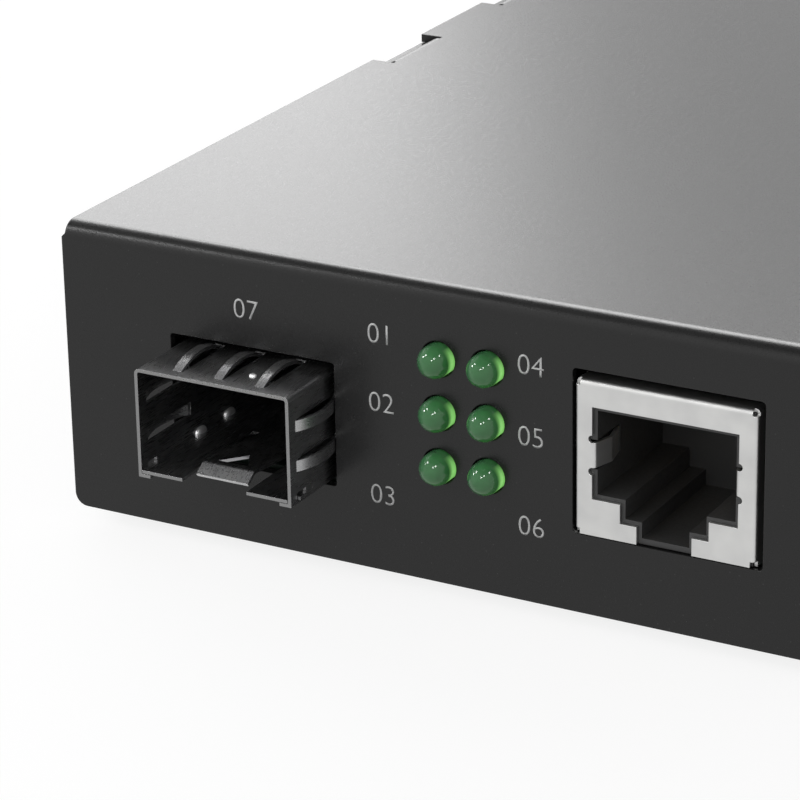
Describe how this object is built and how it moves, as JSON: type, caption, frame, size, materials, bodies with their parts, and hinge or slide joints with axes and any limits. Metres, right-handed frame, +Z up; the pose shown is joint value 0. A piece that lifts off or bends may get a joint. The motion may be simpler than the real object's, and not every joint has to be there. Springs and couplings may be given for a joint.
{
  "type": "fibre media converter",
  "caption": "Small black folded-steel box with a fibre module slot, green LEDs and a copper network port on its front, a round power inlet at the rear and rubber feet.",
  "frame": {"origin": "centre of the footprint, cage mouth to rear wall, on the surface that the feet stand on", "axes": "+X to the right seen from the front, +Y from the front panel to the rear wall, +Z up"},
  "size_m": [0.073, 0.1012, 0.0281],
  "materials": {
    "case_paint": "fine satin black powder coat",
    "black_screw": "black zinc",
    "plain_steel": "zinc plated",
    "circuit_board": "green solder mask",
    "cage_metal": "dull nickel plate",
    "port_plastic": "moulded black",
    "contact_gold": "gold flash",
    "led_green": "tinted clear lens",
    "holder_plastic": "moulded black",
    "tinned_lead": "tinned",
    "port_metal": "matt nickel plate",
    "jack_metal": "nickel plated",
    "chip_plastic": "moulded epoxy",
    "crystal_can": "drawn can",
    "ferrite": "pressed ferrite",
    "capacitor_can": "plain can",
    "ceramic_chip": "fired ceramic",
    "foot_rubber": "matt black",
    "standoff_steel": "zinc plated"
  },
  "bodies": {
    "root": {"base_tray": "case_paint", "board_screws": "plain_steel", "capacitor_1": "capacitor_can", "capacitor_2": "capacitor_can", "capacitor_3": "capacitor_can", "ceramic_parts": "ceramic_chip", "cover_screws": "black_screw", "crystal": "crystal_can", "dc_jack_housing": "port_plastic", "dc_jack_pin": "jack_metal", "dc_jack_spring": "jack_metal", "foot_front_left": "foot_rubber", "foot_front_right": "foot_rubber", "foot_rear_left": "foot_rubber", "foot_rear_right": "foot_rubber", "lan_transformer": "chip_plastic", "lan_transformer_leads": "tinned_lead", "led_1": "led_green", "led_2": "led_green", "led_3": "led_green", "led_4": "led_green", "led_5": "led_green", "led_6": "led_green", "led_holder_left": "holder_plastic", "led_holder_right": "holder_plastic", "led_leads": "tinned_lead", "main_board": "circuit_board", "power_inductor": "ferrite", "rj45_contacts": "contact_gold", "rj45_housing": "port_plastic", "rj45_shield": "port_metal", "sfp_cage_floor": "cage_metal", "sfp_cage_shell": "cage_metal", "sfp_connector": "port_plastic", "sfp_connector_contacts": "contact_gold", "standoff_front_left": "standoff_steel", "standoff_front_right": "standoff_steel", "standoff_rear_left": "standoff_steel", "standoff_rear_right": "standoff_steel", "switch_chip": "chip_plastic", "switch_chip_leads": "tinned_lead", "top_cover": "case_paint", "voltage_regulator": "chip_plastic", "voltage_regulator_leads": "tinned_lead"}
  },
  "joints": []
}
